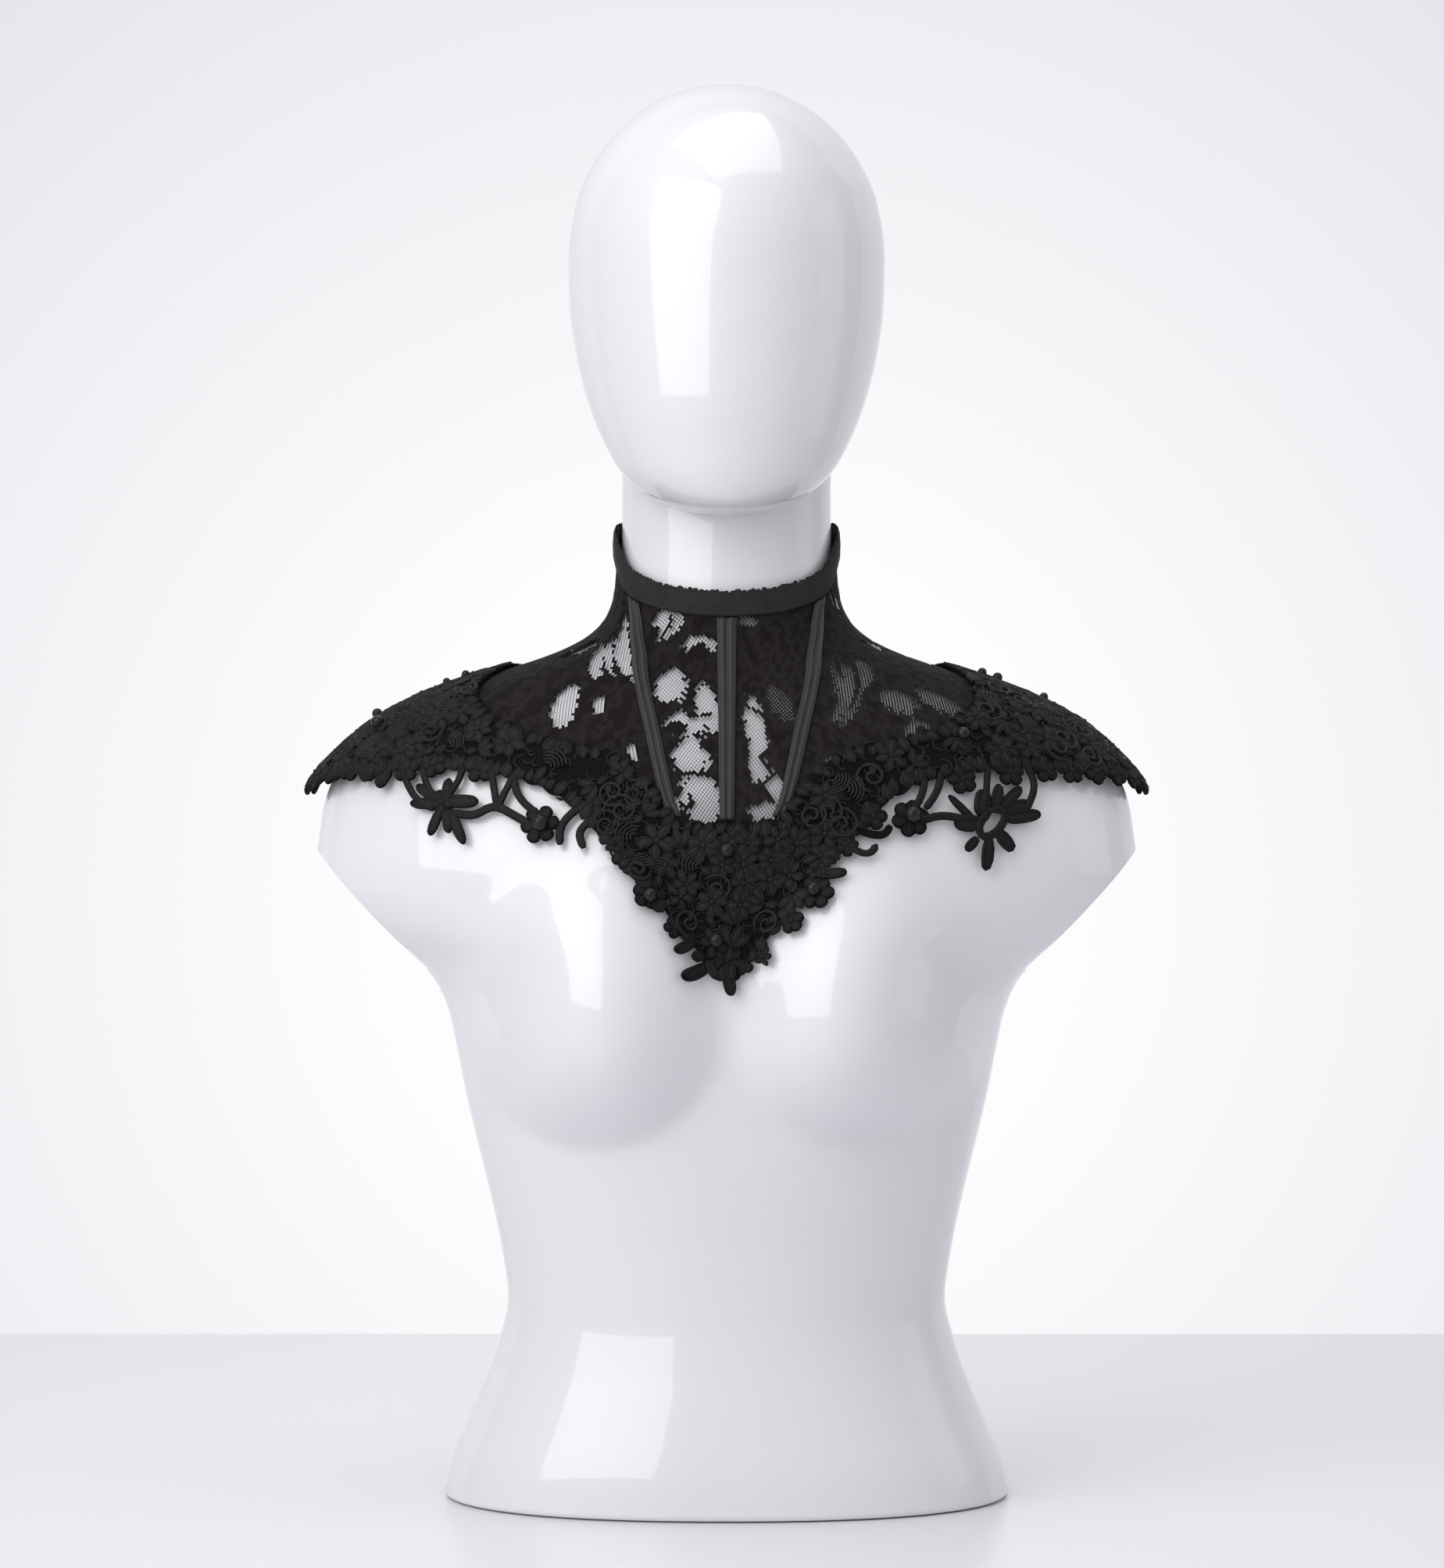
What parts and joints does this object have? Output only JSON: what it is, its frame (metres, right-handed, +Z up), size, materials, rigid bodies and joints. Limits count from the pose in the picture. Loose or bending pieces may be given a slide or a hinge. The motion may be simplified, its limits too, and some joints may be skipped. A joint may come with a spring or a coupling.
{
  "type": "lace neck corset on a torso display form",
  "caption": "High boned lace collar flaring into a scalloped shoulder cape with corded lace appliqué, closed at the back and worn on a limbless display bust with a plain egg-shaped head.",
  "frame": {"origin": "centre of the footprint, on the surface that the form stands on", "axes": "+Z up, the front of the collar faces -Y, +X to the viewer's right from the front"},
  "size_m": [0.4236, 0.2388, 0.7],
  "materials": {
    "form": "high-gloss white moulded shell",
    "lace": "fine black net with woven flower motifs",
    "ribbon": "dull charcoal satin ribbon",
    "corded_lace": "black corded guipure with a slight sheen",
    "pearl": "dark grey faux pearl",
    "metal": "black enamelled wire"
  },
  "bodies": {
    "root": {"display_form": "form", "lace_front_left": "lace", "lace_front_right": "lace", "lace_side_left": "lace", "lace_side_right": "lace", "lace_back_left": "lace", "lace_back_right": "lace", "top_band": "ribbon", "bone_channel_center": "ribbon", "bone_channel_left": "ribbon", "bone_channel_right": "ribbon", "back_placket_left": "ribbon", "back_placket_right": "ribbon", "applique_front": "corded_lace", "applique_shoulder_left": "corded_lace", "applique_shoulder_right": "corded_lace", "applique_back_left": "corded_lace", "applique_back_right": "corded_lace"}
  },
  "joints": []
}
